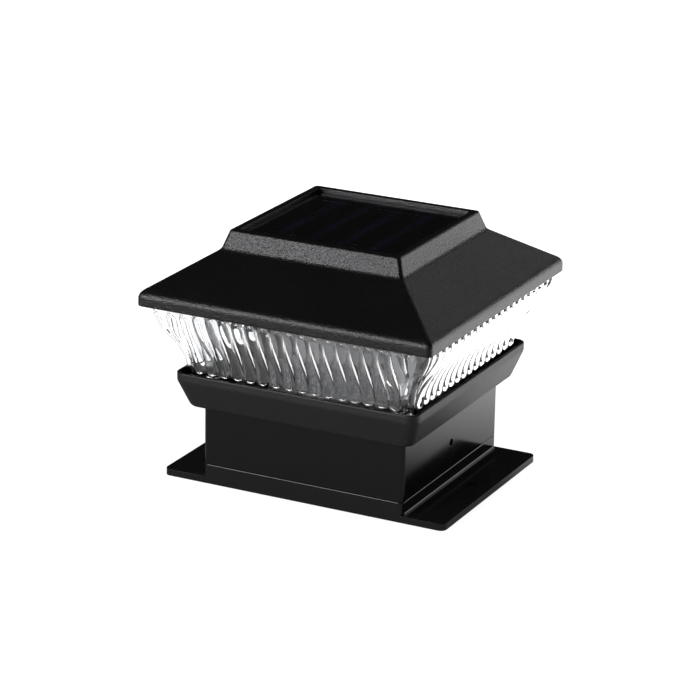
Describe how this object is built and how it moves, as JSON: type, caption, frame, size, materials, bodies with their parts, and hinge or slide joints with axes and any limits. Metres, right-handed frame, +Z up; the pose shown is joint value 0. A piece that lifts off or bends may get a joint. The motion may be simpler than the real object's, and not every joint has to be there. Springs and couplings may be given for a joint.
{
  "type": "deck post cap light",
  "caption": "Solar deck post cap light: pyramid roof with panel, clear fluted lens, grey lamp housing, black tray and square sleeve on a flat-mount base adapter.",
  "frame": {"origin": "middle of the base adapter's underside, on the surface or post shoulder it stands on", "axes": "+Z up through the roof, -Y the front that the camera sees on the left of the picture, +X the side with one of the two screw ears"},
  "size_m": [0.146, 0.146, 0.1207],
  "materials": {
    "base_black": "glossy black",
    "sleeve_black": "glossy black",
    "tray_black": "fine satin texture, black",
    "roof_black": "fine-grained black",
    "screw_steel": "zinc plated",
    "mirror_silver": "vacuum-plated silver",
    "clear_lens": "clear moulded plastic",
    "gasket_black": "soft black",
    "seal_foam": "black foam strip",
    "housing_grey": "light satin grey",
    "board_green": "green solder mask",
    "panel_board": "dark laminate",
    "cell_blue": "dark blue-violet silicon",
    "busbar_silver": "printed silver line",
    "panel_clear": "clear cast resin",
    "chip_black": "black moulding",
    "lamp_amber": "warm tinted epoxy",
    "lead_red": "red insulation",
    "lead_black": "black insulation",
    "battery_wrap": "green shrink wrap",
    "spring_steel": "nickel plated",
    "switch_metal": "pressed steel case",
    "knob_black": "black"
  },
  "bodies": {
    "base": {"base_adapter": "base_black"},
    "cap": {"post_sleeve": "sleeve_black", "tray_screws": "screw_steel", "lens_tray": "tray_black", "reflector_cone": "mirror_silver"},
    "head": {"lens": "clear_lens", "lens_screws": "screw_steel", "lens_gasket": "gasket_black", "roof_shell": "roof_black", "roof_screws": "screw_steel", "lamp_housing": "housing_grey", "panel_seal": "seal_foam", "panel_board": "panel_board", "solar_cells": "cell_blue", "cell_busbars": "busbar_silver", "panel_cover": "panel_clear", "circuit_board": "board_green", "board_screws": "screw_steel", "driver_parts": "chip_black", "led_lamps": "lamp_amber", "panel_leads": "lead_red", "battery": "battery_wrap", "battery_spring": "spring_steel", "battery_contacts": "spring_steel", "battery_leads": "lead_black", "switch_body": "switch_metal"},
    "battery_door": {"battery_door": "housing_grey"},
    "switch_knob": {"switch_knob": "knob_black"}
  },
  "joints": [
    {"name": "cap_lift", "type": "slide", "parent": "base", "child": "cap", "axis": [0, 0, 1], "range_m": [0, 0.05]},
    {"name": "head_lift", "type": "slide", "parent": "cap", "child": "head", "axis": [0, 0, 1], "range_m": [0, 0.06]},
    {"name": "battery_door_hinge", "type": "hinge", "parent": "head", "child": "battery_door", "pos_m": [0, -0.0235, 0.06588], "axis": [-1, 0, 0], "range_deg": [0, 100]},
    {"name": "switch_slide", "type": "slide", "parent": "head", "child": "switch_knob", "axis": [1, 0, 0], "range_m": [0, 0.002]}
  ]
}
